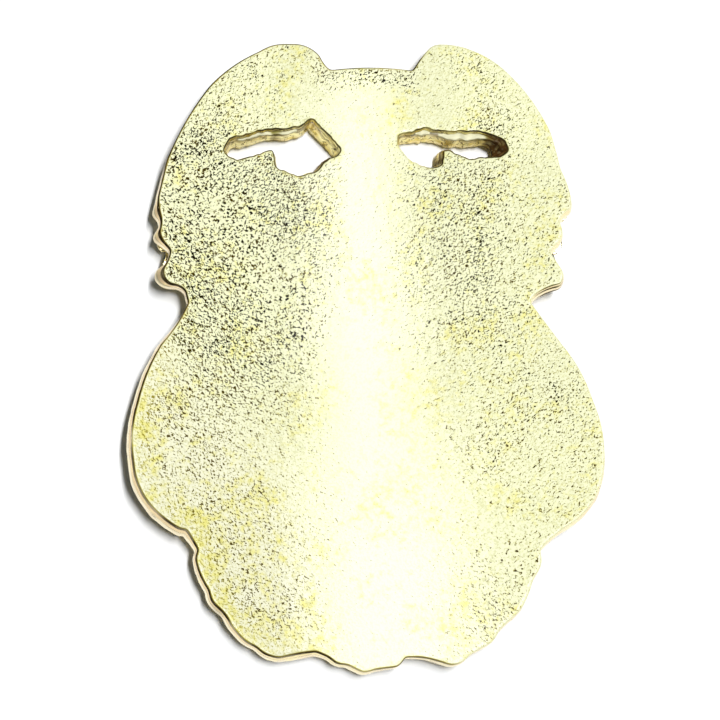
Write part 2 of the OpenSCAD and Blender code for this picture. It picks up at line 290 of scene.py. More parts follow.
def eased(line, times):
    """The closed line with its corners rounded, a little each time."""
    for _ in range(times):
        line = (np.roll(line, 1, 0) + 2 * line + np.roll(line, -1, 0)) / 4
    return line


def outward(line):
    """The directions out of the metal along a closed line with the metal on its left."""
    way = eased(np.roll(line, -1, 0) - np.roll(line, 1, 0), 6)
    return np.column_stack([way[:, 1], -way[:, 0]]) / np.hypot(*way.T)[:, None]


def lumps(points, size, level):
    """Irregular swellings of cast metal on one level of it, from -1 to 1."""
    return np.array([noise.noise(Vector((x / size, y / size, level))) for x, y in points])


def moved_out(line, reach):
    """A line moved out of the metal, calmed where it would cross itself."""
    reach = np.broadcast_to(np.asarray(reach, float), len(line))[:, None]
    moved = line + outward(line) * reach
    way = np.roll(line, -1, 0) - line
    for _ in range(80):
        now = np.roll(moved, -1, 0) - moved
        tight = (now * way).sum(1) < 0.3 * (way * way).sum(1)
        if not tight.any():
            break
        near = tight | np.roll(tight, 1) | np.roll(tight, -1) | np.roll(tight, 2)
        calm = (np.roll(moved, 1, 0) + moved + np.roll(moved, -1, 0)) / 3
        moved = np.where(near[:, None], calm, moved)
    return moved


def depth_inside(points, line):
    """How deep points lie inside a closed line, negative outside it."""
    line = np.asarray(line, float)[:, :2]
    x, y = np.asarray(points, float).T
    inside = np.zeros(len(x), bool)
    nearest = np.full(len(x), 1e9)
    for (x1, y1), (x2, y2) in zip(line, np.roll(line, -1, 0)):
        dx, dy = x2 - x1, y2 - y1
        t = np.clip(((x - x1) * dx + (y - y1) * dy) / (dx * dx + dy * dy), 0, 1)
        nearest = np.minimum(nearest, (x - x1 - t * dx) ** 2 + (y - y1 - t * dy) ** 2)
        if y1 != y2:
            inside ^= ((y1 > y) != (y2 > y)) & (x < dx * (y - y1) / dy + x1)
    return np.where(inside, 1, -1) * np.sqrt(nearest)


def ramp(value, width):
    """Rises softly from 0 to 1 while the value goes from 0 to the width."""
    t = np.clip(value / width, 0, 1)
    return t * t * (3 - 2 * t)


def front(x, rise=0.0):
    """Height over the floor of what stands this far over the front of the plate."""
    return hollow(x) - plate_t - rise


def filled(rings, step):
    """Points a step apart and triangles over the metal inside the first ring, round the others."""
    low, high = rings[0].min(0), rings[0].max(0)
    rows = np.arange(low[1], high[1], step * math.sqrt(0.75))
    columns = np.arange(low[0], high[0], step)
    net = np.array([(x + step / 2 * (i % 2), y) for i, y in enumerate(rows) for x in columns])
    clear = depth_inside(net, rings[0])
    for ring in rings[1:]:
        clear = np.minimum(clear, -depth_inside(net, ring))
    net = net[clear > step * 0.55]
    rim = np.vstack(rings)
    ties, first = [], 0
    for ring in rings:
        ties += [(first + i, first + (i + 1) % len(ring)) for i in range(len(ring))]
        first += len(ring)
    points = np.vstack([rim, net])
    flat, _, faces, source, _, _ = delaunay_2d_cdt([Vector(p) for p in points], ties, [], 1, 1e-7)
    assert len(flat) == len(points)
    order = np.array([s[0] for s in source])
    faces = order[np.array(faces)]
    centres = points[faces].mean(1)
    metal = np.ones(len(faces), bool)
    for ring in rings[1:]:
        metal &= depth_inside(centres, ring) < 0
    return points, faces[metal]


def made(name, points, faces, material, smooth=True):
    """An object from points in the badge's own millimetres, linked and with its material."""
    mesh = bpy.data.meshes.new(name)
    points = (np.asarray(points) - (middle_x, middle_y, 0)) * MM
    mesh.from_pydata(points.tolist(), [], [tuple(map(int, f)) for f in faces])
    mesh.validate()
    if smooth:
        mesh.shade_smooth()
    piece = bpy.data.objects.new(name, mesh)
    bpy.context.collection.objects.link(piece)
    mesh.materials.append(material)
    return piece


def cast_with(piece):
    """Ties a piece to the one casting that it is part of."""
    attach(piece, "root")
    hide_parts("badge_casting")


outline = eased(spaced(swelling(
    brow + left_wing + left_tips + left_flank + left_leaves
    + bottom_lobe + right_leaves + right_flank + right_tips + right_wing), edge_step), 2)
openings = [eased(spaced(swelling(rows), edge_step), 1) for rows in (left_opening, right_opening)]
# The openings' edges wander
openings = [ring + outward(ring) * (0.16 * lumps(ring, 0.6, 3.3))[:, None] for ring in openings]


def lean_round(line):
    """How far the walls lean out at each point of a line, by the nearest places in the rows."""
    away = [(line[:, 0] - x) ** 2 + (line[:, 1] - y) ** 2 + 0.5 for x, y, _ in wall_leans]
    near = [1 / d ** 2 for d in away]
    return sum(w * lean for w, (_, _, lean) in zip(near, wall_leans)) / sum(near)


def nearness(line, x, y, wide):
    """How near a line's points are to a place: 1 there, and next to nothing two widths away."""
    return np.exp(-((line[:, 0] - x) ** 2 + (line[:, 1] - y) ** 2) / wide ** 2)


def wall_rows(ring):
    """A wall's lines of points from the skin down, each with what its points carry."""
    opening = ring is not outline
    if opening:
        lean = np.full(len(ring), opening_lean)
        for x, y, wide, much in opening_leans:
            lean = lean + much * nearness(ring, x, y, wide)
        # The openings' walls get uneven painted shade in their creases
        shade_amount = 0.7 + 0.7 * lumps(ring, 1.1, 7.0)
    else:
        lean = eased(lean_round(ring), 30)
        # The outer walls' painted shade fades out to the right, where the light falls on them, but stays
        # along the lower edge on the left
        under_edge = 0.7 * ramp(-18 - ring[:, 1], 5) * ramp(12 - ring[:, 0], 4)
        shade_amount = (1.1 + 0.7 * lumps(ring, 4.0, 7.0)) * np.maximum(ramp(15 - ring[:, 0], 24), under_edge)
    for x, y, wide, much in shade_places:
        shade_amount = shade_amount + much * nearness(ring, x, y, wide)
    for stand, share, deep, dark, paleness in (opening_profile if opening else wall_profile)[1:]:
        reach = stand + lean * share * (1 + 0.16 * lumps(ring, 1.6, 4.0 + deep))
        reach = reach + (0.16 if opening else 0.05) * ramp(deep, 0.5) * lumps(ring, 0.8, deep * 3.5)
        matt = none = np.zeros(len(ring))
        sandy = none + lip_sand * (deep < 0.05)
        for x, y, out, wide in ledges if opening else feather_ends:
            near = nearness(ring, x, y, wide)
            if opening:
                reach = reach + out * near * (deep > ledge_from)
                sandy = np.maximum(sandy, ledge_sand * (near > 0.4) * (ledge_from < deep < ledge_to))
            else:
                standing = 0.3 * ramp(deep - 0.1, 0.3) + 0.7 * ramp(deep - 0.45, 1.0)
                reach = reach + out * near * standing
                matt = np.maximum(matt, near * ramp(deep - 0.4, 0.3))
        line = moved_out(ring, reach)
        # Painted shade: each row's crease darkens by its share, and where the shade is heavy the whole
        # wall under the lip is painted dark
        crease = dark * np.maximum(shade_amount + 0.35 * opening * (deep < 0.1), 0)
        crease = crease + np.clip(shade_amount - 1.3, 0, 1) * ramp(deep, 0.3)
        stripes = nearness(ring, *striped_place) * (math.cos(8 * deep) > 0.2) * ramp(deep, 0.1)
        patchy = ramp(lumps(ring, 1.5, 9.0) + 0.15, 0.2) if opening else 1.0
        yield np.column_stack([line, hollow(line[:, 0]) - deep]), {
            "sand": sandy, "soot": np.clip(crease + 1.5 * stripes, 0, 1), "rim": none,
            "pale": none + paleness * patchy, "matt": matt, "pierced": none + opening * (deep > 0.1),
            "ruddy": (not opening) * (0.5 < deep < 1.05) * ramp(-9 - ring[:, 0], 8)}


def casting_mesh():
    """The plate's points and faces, and what each point carries: its share of sandy skin, how
    much painted shade it has, how near the skin's rim, and its share of pale (painted highlight), matt,
    pierced and ruddy wall."""
    rings = [outline] + openings
    inset = wall_profile[0][0]
    skin, skin_faces = filled([moved_out(ring, inset) for ring in rings], skin_step)
    points = [np.column_stack([skin, hollow(skin[:, 0])])]
    faces = [skin_faces]
    edge = np.min([np.abs(depth_inside(skin, ring)) for ring in rings], axis=0)
    shares = {name: [np.zeros(len(skin))] for name in ("soot", "matt", "pierced", "ruddy")}
    shares.update({"sand": [ramp(edge - 0.15, 0.2)], "pale": [np.ones(len(skin))],
                   "rim": [1 - ramp(depth_inside(skin, outline), 4.0)]})
    count, first, feet, rim = len(skin), 0, [], []
    for ring in rings:
        above = np.arange(first, first + len(ring))
        first += len(ring)
        for line, carries in wall_rows(ring):
            points.append(line)
            for name, values in carries.items():
                shares[name].append(values)
            here = np.arange(count, count + len(ring))
            count += len(ring)
            faces.append(np.column_stack([above, here, np.roll(here, -1), np.roll(above, -1)]))
            above = here
        feet.append(line[:, :2])
        rim.append(above)
    ground, ground_faces = filled(feet, front_step)
    rim = np.concatenate(rim)
    index = np.concatenate([rim, np.arange(count, count + len(ground) - len(rim))])
    ground = ground[len(rim):]
    in_wings = np.minimum(depth_inside(ground, wing_field), depth_inside(ground, feet[0]) - 0.1)
    points.append(np.column_stack([ground, front(ground[:, 0], wing_rise * ramp(in_wings, 0.5))]))
    for name in shares:
        shares[name].append(np.zeros(len(ground)))
    faces.append(index[ground_faces[:, ::-1]])
    return (np.vstack(points), [f for group in faces for f in group],
            {name: np.concatenate(values) for name, values in shares.items()})


# The bright gold of the walls and the front: smooth bright plate, a little cloudy, with painted
# shade darkening the creases of the walls
bright_gold, nodes, links, shader, place = begun("bright_gold")


def maths(operation, *values):
    """A Math node's result, from sockets or numbers."""
    node = nodes.new("ShaderNodeMath")
    node.operation = operation
    for socket, value in zip(node.inputs, values):
        feed(socket, value)
    return node.outputs[0]


def plus(first, *others):
    """The sum of sockets or numbers."""
    for other in others:
        first = maths("ADD", first, other)
    return first


def minus(first, second):
    """The difference of two sockets or numbers."""
    return maths("SUBTRACT", first, second)


def times(first, *others):
    """The product of sockets or numbers."""
    for other in others:
        first = maths("MULTIPLY", first, other)
    return first


def mapped(value, low, high, to_low=0.0, to_high=1.0):
    """A smooth Map Range node's result."""
    node = fill(nodes.new("ShaderNodeMapRange"), Value=value, From_Min=low, From_Max=high,
                To_Min=to_low, To_Max=to_high)
    node.interpolation_type = "SMOOTHSTEP"
    return node.outputs["Result"]


def off_middle(value):
    """How far a noise's value is from its middle."""
    return maths("ABSOLUTE", minus(value, 0.5))


def shared(name):
    """The share of something that the piece's points carry."""
    node = nodes.new("ShaderNodeAttribute")
    node.attribute_name = name
    return node.outputs["Fac"]


def bumped(height, distance):
    """A Bump node's normal."""
    return fill(nodes.new("ShaderNodeBump"), Height=height, Distance=distance).outputs["Normal"]


cloud = grained(place, 350, 4.0, 0.6)
streak = grained(place, 900, 2.0)
grit = grained(place, 2400, 2.0)
bright = blended(mapped(cloud, 0.35, 0.6), (0.85, 0.69, 0.32), (0.94, 0.80, 0.43))
wall = blended(mapped(cloud, 0.35, 0.55), (0.86, 0.73, 0.50), (0.96, 0.86, 0.61))
olive = blended(mapped(cloud, 0.42, 0.58), (0.78, 0.63, 0.17), (1.0, 0.92, 0.46))
# The openings' walls are painted a deeper olive gold, as painted shade and the gold-tinted reflections
# between them
bright = blended(shared("pierced"), bright, olive)
# The paler wall colour is a painted highlight, on the lip and on the slopes and ledges that catch the
# light
bright = blended(shared("pale"), bright, wall)
bright = blended(times(shared("ruddy"), 0.9), bright, (0.84, 0.645, 0.37))
bright = blended(mapped(streak, 0.56, 0.7, 0.0, 0.6), bright, (1.0, 0.86, 0.42))
# The creases are painted dark as shade, and the openings' walls also get thin dark veins
crease = times(shared("soot"), mapped(grit, 0.3, 0.5, 0.85, 1.0))
vein = mapped(off_middle(grained(place, 800, 2.0)), 0.0, 0.03, 0.9, 0.0)
crease = maths("MAXIMUM", crease, times(vein, shared("pierced")))
black = blended(shared("pierced"), (0.030, 0.018, 0.006), (0.105, 0.050, 0.014))
satin = times(plus(shared("matt"), times(shared("pierced"), 0.6)), 0.3)
fill(shader, Specular_IOR_Level=0.0, Base_Color=blended(crease, bright, black),
     Metallic=minus(1.0, crease), Roughness=plus(satin, mapped(cloud, 0.3, 0.7, 0.22, 0.34)),
     Normal=bumped(plus(cloud, times(grit, 0.25)), 0.08 * MM))

# The sandy gold of the back: pale plate over the mould's fine grain, whose pits and their painted
# shade show as short dark worms, thick on the two upper sides and thin in the middle, where the light's
# stripe falls, and towards the bottom
sandy_gold, nodes, links, shader, place = begun("sandy_gold")
split = fill(nodes.new("ShaderNodeSeparateXYZ"), Vector=place)
across, along = split.outputs["X"], split.outputs["Y"]


def vectors(operation, first, second):
    """A Vector Math node's result, from sockets, rows of numbers or a scale."""
    node = nodes.new("ShaderNodeVectorMath")
    node.operation = operation
    feed(node.inputs[0], first)
    feed(node.inputs["Scale"] if operation == "SCALE" else node.inputs[1], second)
    return node.outputs["Vector"]


def together(x, y, z):
    """A vector put together from its three parts."""
    return fill(nodes.new("ShaderNodeCombineXYZ"), X=x, Y=y, Z=z).outputs["Vector"]


def up(low, high, to_low, to_high):
    """A value that changes softly up the badge, between two heights on it in millimetres."""
    return mapped(along, low * MM, high * MM, to_low, to_high)


# Each grain is painted darkest on its lower side, to the right at the top and on the right, and to the
# left at the lower left: painted shade on its side away from the light
grain_look = (3300, 1.0, 0.5, 0.6)
sideways = mapped(plus(across, times(along, 0.9)), -20 * MM, 10 * MM, -0.73, 0.73)
aimed = together(sideways, times(maths("ABSOLUTE", sideways), -0.9), 0.0)
grain = grained(place, *grain_look)
nearer = grained(vectors("SUBTRACT", place, vectors("SCALE", aimed, 0.08 * MM)), *grain_look)
shade = plus(times(minus(nearer, grain), 22.0), times(minus(0.5, grain), 20.0))
# The painted grain shade thickens away from the light's bright stripe on either side, and up from the
# lower half
beside = minus(across, up(-34, 0, 1.8 * MM, -0.4 * MM))
from_stripe = maths("ABSOLUTE", beside)


def off(low, high, to_low, to_high):
    """A value that changes softly off the stripe, between two distances in millimetres."""
    return mapped(from_stripe, low * MM, high * MM, to_low, to_high)


stripe_half = up(-36, 20, 5.5 * MM, 0.0)
fading = up(-20, 5, 17 * MM, 12.5 * MM)
to_sides = mapped(from_stripe, stripe_half, plus(stripe_half, fading))
on_left = plus(up(-13, -1, 0.11, 0.27), up(-26, -16, 0.025, 0.0), up(2, 12, 0.0, 0.08))
on_right = times(up(-1, 12, 0.095, 0.18), mapped(beside, 13 * MM, 21 * MM, 1.0, up(-4, 14, 0.75, 0.3)))
fullest = blended(maths("GREATER_THAN", beside, 0.0), on_left, on_right)
at_top = times(up(21.5, 28, 0.0, 1.0), off(9, 17, 0.8, 0.4))
fullest = times(fullest, minus(1.0, at_top))
# Where the grain is thicker or thinner than that, in rows of x, y, how far round and how much
patches = grained(place, 170, 2.0, 0.6)
uneven = mapped(patches, 0.3, 0.7, 0.75, 1.35)
for x, y, far, much in [
        (-17.2, 32.2, 5.0, -0.4), (-10.0, 32.8, 6.0, -0.6), (10.4, 32.8, 6.0, -0.4),
        (17.0, 29.8, 4.5, 1.3), (-20.2, 24.4, 5.0, 0.6), (6.2, 18.4, 5.5, -0.3), (12.5, 11.8, 5.0, 0.3),
        (-19.0, 11.8, 7.0, 0.15), (-12.0, 14.5, 5.0, -0.1), (-19.6, 4.0, 5.0, 0.4),
        (-5.8, 4.0, 5.0, 0.9), (-23.4, -3.2, 5.0, -0.4), (11.6, -3.2, 6.5, -0.5),
        (22.4, -3.2, 5.0, 0.5), (-11.8, -11.6, 6.5, -0.25), (-17.2, -11.6, 5.0, 0.2),
        (11.6, -11.6, 6.0, 1.2), (22.4, -17.0, 5.0, -0.4), (-11.8, -23.0, 5.0, -0.1),
        (-5.8, -23.0, 5.0, 1.2), (11.0, -23.0, 5.0, 0.8), (17.0, -27.5, 8.0, 1.4),
        (-13.0, -30.2, 5.0, 0.6), (-6.4, -30.2, 6.0, 2.2), (9.2, -30.2, 5.0, 0.8),
        (12.5, -32.5, 6.0, 1.5)]:
    away = plus(maths("POWER", minus(across, (x - middle_x) * MM), 2.0),
                maths("POWER", minus(along, (y - middle_y) * MM), 2.0))
    uneven = plus(uneven, mapped(away, 0.0, (far * MM) ** 2, much, 0.0))
# It is thick along the top edge between the wings too
top_edge = times(up(31, 32.8, 0.0, 0.3), mapped(beside, -4 * MM, 1 * MM, 0.5), off(5, 8, 1.0, 0.0))
thick = plus(times(to_sides, fullest, uneven), times(shared("rim"), top_edge))
steep = plus(thick, off(2, 7, up(-30, -10, 0.07, 0.085), 0.095))
# The pits run together along wandering lines, and fade out on the rim at the lower left
winding = mapped(off_middle(grained(place, 1100, *grain_look[1:])), 0.015, 0.07, 1.0, 0.0)
pit = times(shade, steep, mapped(winding, 0.0, 1.0, 0.55))
pit = mapped(plus(pit, times(winding, thick, 1.3)), 0.44, 0.70)
low_rim = times(shared("rim"), up(-6, 4, 0.7, 0.0), mapped(across, -10 * MM, 0.0, 1.0, 0.0))
pit = times(pit, shared("sand"), minus(1.0, low_rim))
# The walls' painted shade darkens the sandy lip like a pit
pit = maths("MAXIMUM", pit, shared("soot"))
# The pale plate goes yellow in specks, and warmer at the lower left
clouds = grained(place, 420, 2.0)
low_left = times(mapped(plus(across, along), -36 * MM, -16 * MM, 1.0, 0.0), off(5, 12, 0.0, 1.0))
yellowish = plus(times(shared("rim"), 0.045), mapped(clouds, 0.42, 0.58, 0.0, 0.09))
yellowish = plus(times(patches, 0.5), times(low_left, yellowish), times(grained(place, 1500, 2.0), 0.55))
pale = blended(low_left, (0.95, 0.95, 0.73), (0.97, 0.96, 0.79))
pale = blended(mapped(yellowish, 0.52, 0.80), pale, (0.94, 0.90, 0.38))
# It is painted duller away from the light's stripe and just beside it, as painted shade, and on each
# grain's shaded side
duller = times(up(-36, 12, 0.10, 0.055), up(22, 29, 1.0, 0.5),
               mapped(beside, 0.0, 14 * MM, 1.0, up(-16, 0, 0.65, 1.0)))
near_stripe = times(off(1, 5, 0.0, 1.0), off(8, 14, 1.0, 0.0), up(-22, -8, 0.0, 0.055))
pale = vectors("SCALE", pale, minus(minus(1.0, off(4, 14, 0.0, duller)), near_stripe))
soft = times(mapped(shade, -1.5, 3.0), off(1, 10, 0.45, 1.0))
pale = blended(soft, pale, vectors("MULTIPLY", pale, (0.89, 0.885, 0.77)))
# The openings' ledges are painted a pale cream and made less metallic, as a painted highlight
on_ledge = mapped(shared("sand"), ledge_sand * 1.1, lip_sand * 0.9, 1.0, 0.0)
pale = blended(on_ledge, pale, (0.97, 0.94, 0.66))
# The pits are olive round their edges and nearly black in their middles, browner further down
browner = mapped(plus(clouds, up(-30, 12, 0.20, 0.0), times(low_left, 0.1)), 0.46, 0.64)
dark = blended(browner, (0.022, 0.017, 0.004), (0.12, 0.080, 0.006))
dark = blended(times(low_left, 0.6), dark, (0.16, 0.110, 0.008))
olive = blended(browner, (0.44, 0.39, 0.09), (0.52, 0.41, 0.05))
olive = blended(low_left, olive, (0.52, 0.46, 0.06))
olive = blended(mapped(pit, 0.0, 0.55), pale, olive)
fill(shader, Base_Color=blended(mapped(pit, 0.35, 1.0), olive, dark),
     Metallic=minus(1.0, times(on_ledge, 0.75)), Roughness=mapped(pit, 0.0, 1.0, 0.84, 0.88),
     Normal=bumped(grain, 0.04 * MM), Coat_Roughness=0.10,
     Coat_Weight=plus(up(-8, 18, 0.048, 0.080), up(-30, -18, 0.014, 0.0)))


def carry(piece, numbers):
    """Gives the piece's points their numbers, by name."""
    for name, values in numbers.items():
        piece.data.attributes.new(name, "FLOAT", "POINT").data.foreach_set("value", values)


points, faces, shares = casting_mesh()
casting = made("casting", points, faces, bright_gold)
carry(casting, shares)


def tree_begun(name, **kinds):
    """A new tree of nodes with inputs of these kinds, by name with _ for a space: the tree, its
    inputs' identifiers, its nodes and links and what its input node gives."""
    tree = bpy.data.node_groups.new(name, "GeometryNodeTree")
    tree.interface.new_socket("Geometry", in_out="OUTPUT", socket_type="NodeSocketGeometry")
    tree.interface.new_socket("Geometry", in_out="INPUT", socket_type="NodeSocketGeometry")
    inputs = [tree.interface.new_socket(
        word.replace("_", " "), in_out="INPUT", socket_type="NodeSocket" + kind).identifier
        for word, kind in kinds.items()]
    return tree, inputs, tree.nodes, tree.links, tree.nodes.new("NodeGroupInput").outputs


def carried(name):
    """A number that each point of the tree's geometry carries."""
    node = fill(nodes.new("GeometryNodeInputNamedAttribute"), Name=name)
    node.data_type = "FLOAT"
    return node.outputs["Attribute"]


def plated(shapes, plating, where=None):
    """Ends a tree with its shapes made real and plated, all over or where a socket says."""
    real = fill(nodes.new("GeometryNodeRealizeInstances"), Geometry=shapes)
    done = fill(nodes.new("GeometryNodeSetMaterial"), Geometry=real.outputs["Geometry"],
                Selection=where, Material=plating)
    fill(nodes.new("NodeGroupOutput"), Geometry=done.outputs["Geometry"])


def made_plain(piece, tree, inputs, values):
    """Puts a tree's result in place of the piece's mesh, with these values in its inputs."""
    live = piece.modifiers.new(tree.name, "NODES")
    live.node_group = tree
    for identifier, value in zip(inputs, values):
        live[identifier] = value
    bpy.context.view_layer.update()
    done = piece.evaluated_get(bpy.context.evaluated_depsgraph_get())
    mesh = bpy.data.meshes.new_from_object(done)
    piece.modifiers.remove(live)
    piece.data = mesh
    mesh.name = piece.name


# The mould's coarser lumps are real, pushed in and out of the skin by this tree
lump_size = 0.9
lump_depth = 0.015
skin_tree, skin_inputs, nodes, links, given = tree_begun(
    "sandy_skin", Lump_size="Float", Lump_depth="Float")
lump = grained(None, maths("DIVIDE", 1.0, given["Lump size"]), 1.0)
push = times(minus(lump, 0.5), given["Lump depth"], carried("sand"))
shove = vectors("SCALE", nodes.new("GeometryNodeInputNormal").outputs["Normal"], push)
pushed = fill(nodes.new("GeometryNodeSetPosition"), Geometry=given["Geometry"], Offset=shove)
plated(pushed.outputs["Geometry"], sandy_gold, maths("GREATER_THAN", carried("sand"), 0.001))
made_plain(casting, skin_tree, skin_inputs, (lump_size * MM, lump_depth * MM))
cast_with(casting)

# The wings' feathers, cast with the plate from the shoulders down to the tips on the flanks: on
# each side eleven long blades with a raised shaft and slanting barbs, seven short coverts over
# their roots, and a fringe of small ones under the opening.
feather_rise = 1.32
covert_rise = 1.42
fringe_rise = 1.12
# Rows of root x and y, tip x and y, and width
left_feathers = [
    (-4.6, 36.2, -4.6, 29.4, 2.1), (-6.6, 38.0, -7.3, 30.2, 2.3), (-8.8, 38.2, -10.0, 29.4, 2.5),
    (-11.0, 37.6, -12.8, 29.0, 2.6), (-13.2, 36.4, -15.9, 28.3, 2.8), (-15.2, 35.0, -19.2, 24.8, 2.9),
    (-17.2, 33.4, -22.4, 20.6, 3.0), (-19.0, 31.2, -25.0, 17.0, 3.1), (-20.4, 26.0, -24.6, 13.0, 3.0),
    (-19.4, 21.0, -24.1, 8.6, 3.0), (-18.4, 22.8, -20.7, 7.8, 2.6)]
right_feathers = [
    (6.2, 36.0, 5.6, 30.0, 2.1), (8.2, 38.8, 8.2, 30.6, 2.3), (10.4, 39.2, 10.9, 30.2, 2.5),
    (12.6, 38.6, 13.7, 30.2, 2.6), (14.6, 37.4, 16.6, 29.4, 2.8), (16.4, 36.2, 19.8, 26.2, 2.9),
    (18.2, 34.6, 22.6, 22.0, 3.0), (19.8, 32.4, 25.2, 18.4, 3.1), (20.6, 27.0, 24.2, 14.2, 3.0),
    (19.2, 21.8, 23.8, 9.9, 3.0), (18.6, 22.8, 20.2, 8.6, 2.6)]
# The short feathers over the long ones' roots, in the same rows
left_coverts = [
    (-8.2, 38.6, -8.7, 35.0, 2.0), (-10.4, 38.4, -11.4, 34.8, 2.1), (-12.6, 37.6, -14.2, 34.0, 2.2),
    (-14.8, 36.2, -17.0, 32.6, 2.3), (-16.8, 34.4, -19.4, 30.4, 2.4), (-18.6, 32.0, -21.4, 27.6, 2.5),
    (-20.0, 29.2, -22.8, 24.6, 2.6)]
right_coverts = [
    (8.6, 39.2, 8.9, 35.6, 2.0), (10.8, 39.2, 11.6, 35.6, 2.1), (13.0, 38.4, 14.4, 34.8, 2.2),
    (15.2, 37.0, 17.2, 33.4, 2.3), (17.2, 35.2, 19.6, 31.2, 2.4), (19.0, 32.8, 21.6, 28.4, 2.5),
    (20.4, 30.0, 23.0, 25.4, 2.6)]
# The fringe of small ones under the openings
left_fringe = [(x, 22.75, x - 0.4, 20.4, 1.6) for x in np.arange(-17.8, -3.0, 1.45)]
right_fringe = [(x, 22.75, x + 0.4, 20.4, 1.6) for x in np.arange(4.8, 18.2, 1.45)]


def blade_mesh(name, half, crown, rows, columns):
    """A closed blade a unit long on Y and wide on X, its crown as a share of its rise."""
    t, s = np.meshgrid(np.linspace(0, 1, rows), np.linspace(-1, 1, columns), indexing="ij")
    x = s * half(t) / 2
    top = np.column_stack([x.ravel(), t.ravel(), crown(t, s).ravel()])
    low = np.column_stack([x.ravel(), t.ravel(), np.full(x.size, -1.0)])
    cell = (np.arange(rows - 1)[:, None] * columns + np.arange(columns - 1)).ravel()
    quads = np.column_stack([cell, cell + 1, cell + columns + 1, cell + columns])
    rim = np.concatenate([
        np.arange(columns - 1), np.arange(rows - 1) * columns + columns - 1,
        np.arange(rows * columns - 1, (rows - 1) * columns, -1),
        np.arange((rows - 1) * columns, 0, -columns)])
    under = rim + x.size
    sides = np.column_stack([rim, under, np.roll(under, -1), np.roll(rim, -1)])
    mesh = bpy.data.meshes.new(name)
    faces = np.vstack([quads, quads[:, ::-1] + x.size, sides])
    mesh.from_pydata(np.vstack([top, low]).tolist(), [], faces.tolist())
    mesh.shade_smooth()
    return mesh


def feather_half(t):
    """How wide a feather is at a share of its length: widest here and rounded off after it."""
    widest = 0.72
    rounded = np.sqrt(np.clip(1 - ((t - widest) / (1 - widest)) ** 2, 0, 1))
    return np.where(t < widest, widest + (1 - widest) * t / widest, rounded) + 0.02


def feather_crown(t, s):
    """How high a feather's crown is along and across it: a shaft between slanting barbs."""
    shaft = 0.35 * np.exp(-(s / 0.13) ** 2) * (1 - t)
    barbs = 0.22 * np.abs(np.sin(math.pi * 16 * (t + 0.10 * np.abs(s))))
    return (1 - 0.5 * s ** 4) * (1 - 0.3 * t) * (0.80 + barbs * (np.abs(s) > 0.15)) + shaft


# Lays a blade from each root to its tip: the points carry the turn, length and width of theirs
row_tree, row_inputs, nodes, links, given = tree_begun(
    "row_of_blades", Blade="Object", Rise="Float", Plating="Material")
dots = fill(nodes.new("GeometryNodeMeshToPoints"), Mesh=given["Geometry"])
pattern = fill(nodes.new("GeometryNodeObjectInfo"), Object=given["Blade"])
placed = fill(
    nodes.new("GeometryNodeInstanceOnPoints"), Points=dots.outputs["Points"],
    Instance=pattern.outputs["Geometry"], Rotation=together(0.0, 0.0, carried("turn")),
    Scale=together(carried("breadth"), carried("reach"), given["Rise"]))
plated(placed.outputs["Instances"], given["Plating"])


def bent_on(piece, level):
    """Turns a flat piece's heights downwards and bends it over the front, at a level above it."""
    mesh = piece.data
    spots = np.empty(len(mesh.vertices) * 3)
    mesh.vertices.foreach_get("co", spots)
    spots = spots.reshape(-1, 3)
    x = spots[:, 0] / MM + middle_x
    spots[:, 2] = front(x, level + spots[:, 2] / MM) * MM
    mesh.vertices.foreach_set("co", spots.ravel())
    mesh.flip_normals()
    mesh.update()


def row_of_blades(name, blade, rows, level, rise):
    """A row's blades as one piece of the casting, their crowns between the level and the rise."""
    rows = np.array(rows)
    way = rows[:, 2:4] - rows[:, :2]
    piece = made(name, np.column_stack([rows[:, :2], np.zeros(len(rows))]), [], bright_gold, False)
    carry(piece, {"turn": np.arctan2(-way[:, 0], way[:, 1]), "reach": np.hypot(*way.T) * MM,
                  "breadth": rows[:, 4] * MM})
    pattern = bpy.data.objects.new(blade.name, blade)
    made_plain(piece, row_tree, row_inputs, (pattern, (rise - level) * MM, bright_gold))
    bpy.data.objects.remove(pattern)
    bent_on(piece, level)
    cast_with(piece)


feather = blade_mesh("feather", feather_half, feather_crown, 90, 15)
covert = blade_mesh("covert", feather_half, lambda t, s: feather_crown(0.4 * t, s), 40, 9)
row_of_blades("left_feathers", feather, left_feathers, 0.9, feather_rise)
row_of_blades("right_feathers", feather, right_feathers, 0.9, feather_rise)
row_of_blades("left_coverts", covert, left_coverts, 1.0, covert_rise)
row_of_blades("right_coverts", covert, right_coverts, 1.0, covert_rise)
row_of_blades("left_fringe", covert, left_fringe, 0.3, fringe_rise)
row_of_blades("right_fringe", covert, right_fringe, 0.3, fringe_rise)

# The rays behind the medallion: 24 low ridges cast with the plate. They widen outwards from under
# its ring and end inside the flanks, below the eagle and above the knot.
ray_rise = 0.36
ray_count = 24
ray_from, ray_to = 12.0, 34.0
ray_margin = 1.6
ray_low, ray_high = -26, 16
ray_spread = 0.13
centre = np.array((0, -7.0))
rays = []
for i in range(ray_count):
    angle = 2 * math.pi * (i + 0.5) / ray_count
    way = np.array((math.cos(angle), math.sin(angle)))
    steps = np.arange(ray_from, ray_to, 0.1)
    spots = centre + way * steps[:, None]
    y = spots[:, 1]
    on_plate = (depth_inside(spots, outline) > ray_margin) & (y > ray_low) & (y < ray_high)
    reach = steps[on_plate].max()
    rays.append((*(centre + way * ray_from), *(centre + way * reach), reach * ray_spread))
ray = blade_mesh("ray", lambda t: 0.45 + 0.55 * t, lambda t, s: 1.0 - 0.9 * np.abs(s), 20, 5)
row_of_blades("rays", ray, rays, 0.0, ray_rise)

